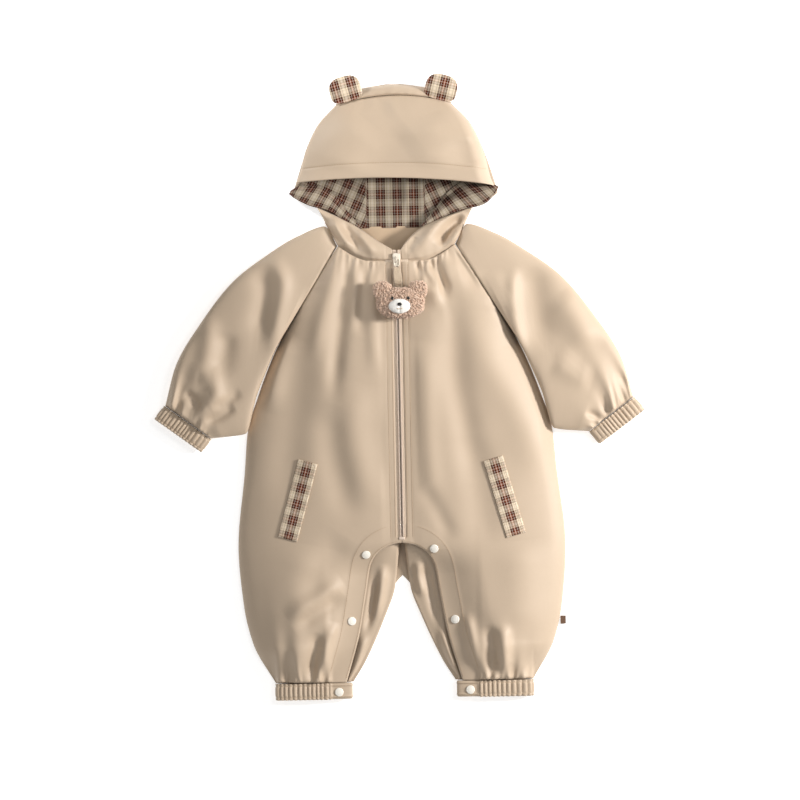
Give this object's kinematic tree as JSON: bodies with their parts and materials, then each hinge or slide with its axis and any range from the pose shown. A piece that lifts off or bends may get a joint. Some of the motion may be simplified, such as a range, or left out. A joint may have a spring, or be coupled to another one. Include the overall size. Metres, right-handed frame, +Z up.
{
  "type": "hooded toddler romper",
  "caption": "Toddler's long-sleeved hooded romper with bear ears, a front zip with a plush charm, check trim, elastic cuffs and a snap-fastened inseam, laid flat front up.",
  "frame": {"origin": "middle of the garment on the surface it lies on", "axes": "+Z up out of the front, +Y from the leg cuffs to the hood, +X to the right of a viewer who looks down on it"},
  "size_m": [0.5986, 0.7625, 0.0583],
  "materials": {
    "shell_cloth": "smooth cotton twill with a soft satin sheen",
    "plaid_cloth": "woven check of cream, dark brown and grey",
    "elastic": "knitted elastic",
    "zip_tape": "woven tape",
    "pocket_cloth": "plain pocketing",
    "zip_coil": "dyed coil",
    "slider": "cream lacquer",
    "ribbon": "herringbone ribbon",
    "plush": "curled pile",
    "felt": "short pile",
    "bead": "polished",
    "snap": "moulded cap",
    "label": "woven"
  },
  "bodies": {
    "suit": {"back_panel": "shell_cloth", "back_placket_left": "shell_cloth", "back_placket_right": "shell_cloth", "collar_left": "shell_cloth", "collar_right": "shell_cloth", "front_panel_left": "shell_cloth", "front_panel_right": "shell_cloth", "leg_cuff_left": "shell_cloth", "leg_cuff_right": "shell_cloth", "leg_elastic_left": "elastic", "leg_elastic_right": "elastic", "neck_facing": "shell_cloth", "pocket_bag_left": "pocket_cloth", "pocket_bag_right": "pocket_cloth", "pocket_welt_left": "plaid_cloth", "pocket_welt_right": "plaid_cloth", "side_label": "label", "snap_cap_left_1": "snap", "snap_cap_left_2": "snap", "snap_cap_left_3": "snap", "snap_cap_right_1": "snap", "snap_cap_right_2": "snap", "snap_cap_right_3": "snap", "snap_stud_left_1": "snap", "snap_stud_left_2": "snap", "snap_stud_left_3": "snap", "snap_stud_right_1": "snap", "snap_stud_right_2": "snap", "snap_stud_right_3": "snap", "zip_bottom_stop": "zip_coil", "zip_coil_left": "zip_coil", "zip_coil_right": "zip_coil", "zip_tape_left": "zip_tape", "zip_tape_right": "zip_tape"},
    "left_sleeve": {"sleeve_left": "shell_cloth", "sleeve_cuff_left": "shell_cloth", "sleeve_elastic_left": "elastic"},
    "right_sleeve": {"sleeve_right": "shell_cloth", "sleeve_cuff_right": "shell_cloth", "sleeve_elastic_right": "elastic"},
    "hood": {"hood_back": "shell_cloth", "hood_lining_back": "plaid_cloth", "hood_front": "shell_cloth", "hood_lining_front": "plaid_cloth", "hood_crown": "shell_cloth", "hood_lip_left": "plaid_cloth", "hood_lip_right": "plaid_cloth"},
    "left_ear": {"hood_ear_left": "plaid_cloth"},
    "right_ear": {"hood_ear_right": "plaid_cloth"},
    "slider": {"zip_slider": "slider"},
    "pull": {"zip_pull_ring": "slider", "pull_ribbon": "ribbon"},
    "charm": {"charm_head": "plush", "charm_ear_left": "plush", "charm_ear_right": "plush", "charm_muzzle": "felt", "charm_nose": "bead", "charm_eye_left": "bead", "charm_eye_right": "bead"}
  },
  "joints": [
    {"name": "left_sleeve_swing", "type": "hinge", "parent": "suit", "child": "left_sleeve", "pos_m": [-0.087, 0.1975, 0.012], "axis": [0, 0, -1], "range_deg": [0, 30]},
    {"name": "right_sleeve_swing", "type": "hinge", "parent": "suit", "child": "right_sleeve", "pos_m": [0.087, 0.1975, 0.012], "axis": [0, 0, 1], "range_deg": [0, 30]},
    {"name": "hood_fold", "type": "hinge", "parent": "suit", "child": "hood", "pos_m": [0, 0.194, 0.008], "axis": [1, 0, 0], "range_deg": [0, 80]},
    {"name": "left_ear_flop", "type": "hinge", "parent": "hood", "child": "left_ear", "pos_m": [-0.0545, 0.3505, 0.017], "axis": [0.9659, 0.2588, 0], "range_deg": [0, 60]},
    {"name": "right_ear_flop", "type": "hinge", "parent": "hood", "child": "right_ear", "pos_m": [0.0545, 0.3505, 0.017], "axis": [0.9659, -0.2588, 0], "range_deg": [0, 60]},
    {"name": "zip_slide", "type": "slide", "parent": "suit", "child": "slider", "axis": [0, -1, 0], "range_m": [0, 0.327]},
    {"name": "pull_swing", "type": "hinge", "parent": "slider", "child": "pull", "pos_m": [0, 0.1548, 0.0303], "axis": [-1, 0, 0], "range_deg": [0, 100]},
    {"name": "charm_swing", "type": "hinge", "parent": "pull", "child": "charm", "pos_m": [0.0063, 0.119, 0.0315], "axis": [-1, 0, 0], "range_deg": [0, 45]}
  ]
}
